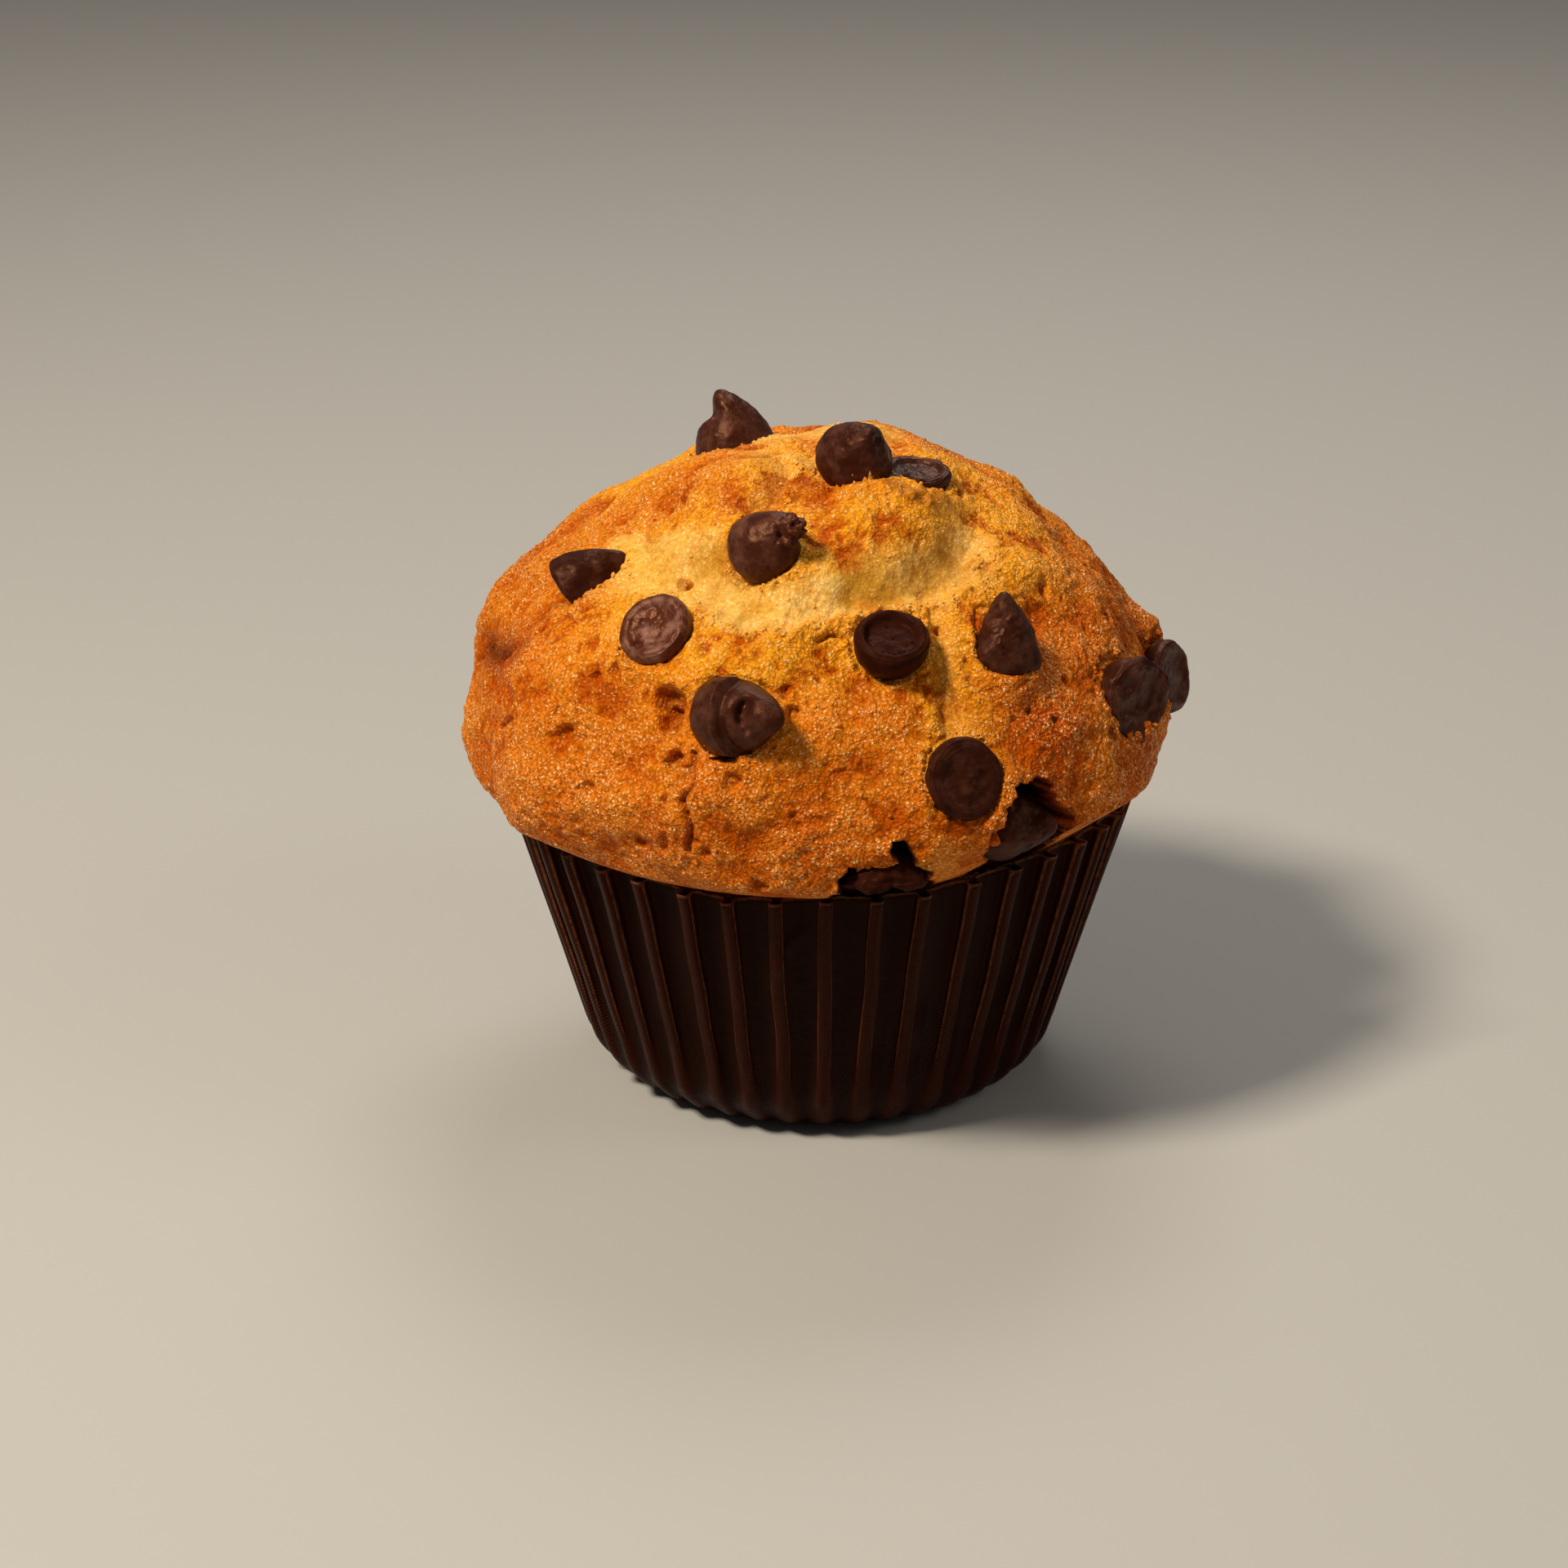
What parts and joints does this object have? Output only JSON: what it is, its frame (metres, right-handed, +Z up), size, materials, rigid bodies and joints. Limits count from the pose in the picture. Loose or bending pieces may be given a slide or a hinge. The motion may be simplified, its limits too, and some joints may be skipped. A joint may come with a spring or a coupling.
{
  "type": "chocolate chip muffin",
  "caption": "Round muffin with a mushroomed, split golden top, studded with chocolate chips, in a fluted dark brown paper baking cup.",
  "frame": {"origin": "centre of the flat base of the paper cup, on the surface it stands on", "axes": "+Z up through the middle of the muffin; -Y towards the side of the top with the most chips; +X to the right seen from there"},
  "size_m": [0.0787, 0.0802, 0.076],
  "materials": {
    "crumb": "baked sponge with a golden brown crust and pale yellow splits",
    "chocolate": "dark chocolate, satin with a faint bloom",
    "paper": "dark brown greaseproof baking paper, slightly glossy"
  },
  "bodies": {
    "root": {"paper_cup": "paper", "crumb": "crumb", "chip_01": "chocolate", "chip_02": "chocolate", "chip_03": "chocolate", "chip_04": "chocolate", "chip_05": "chocolate", "chip_06": "chocolate", "chip_07": "chocolate", "chip_08": "chocolate", "chip_09": "chocolate", "chip_10": "chocolate", "chip_11": "chocolate", "chip_12": "chocolate", "chip_13": "chocolate", "chip_14": "chocolate", "chip_15": "chocolate", "chip_16": "chocolate", "chip_17": "chocolate", "chip_18": "chocolate", "chip_19": "chocolate", "chip_20": "chocolate", "chip_21": "chocolate", "chip_22": "chocolate"}
  },
  "joints": []
}
